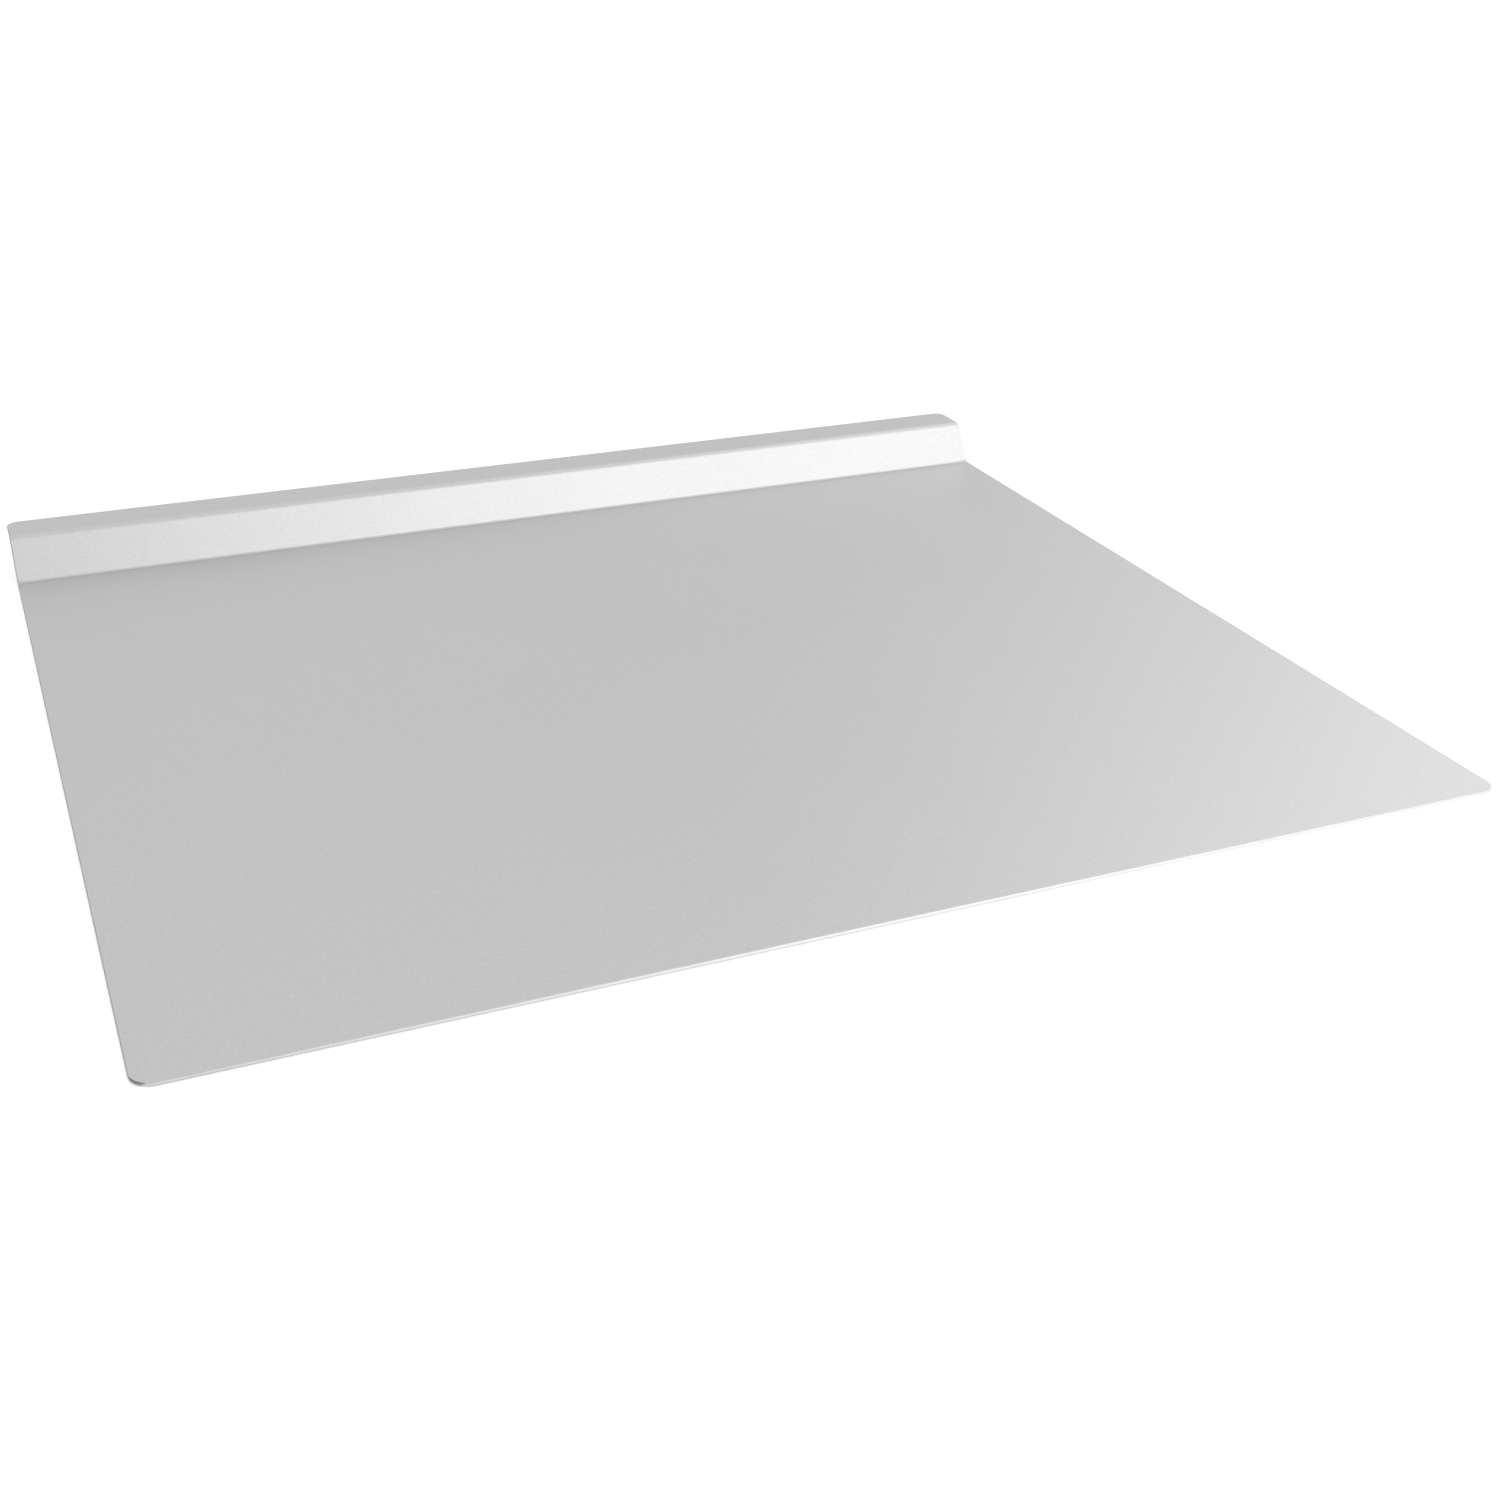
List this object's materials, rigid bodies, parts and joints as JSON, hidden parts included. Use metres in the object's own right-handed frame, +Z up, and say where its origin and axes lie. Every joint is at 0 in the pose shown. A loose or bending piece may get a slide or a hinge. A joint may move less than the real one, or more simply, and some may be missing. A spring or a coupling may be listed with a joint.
{
  "type": "cookie sheet",
  "caption": "Flat cookie sheet of bent sheet aluminium, open on three sides, with a leaning riser and a level grip lip along its back edge.",
  "frame": {"origin": "bottom centre of the outline, on the plane of the rack or table that the flat lies on", "axes": "+Z up, +X along the two bends, +Y from the open front edge towards the grip lip"},
  "size_m": [0.4318, 0.392, 0.0171],
  "materials": {
    "aluminium": "bare sheet with a fine satin grain that has no direction, and deburred cut edges a little brighter than the faces"
  },
  "bodies": {
    "root": {"cookie_sheet": "aluminium"}
  },
  "joints": []
}
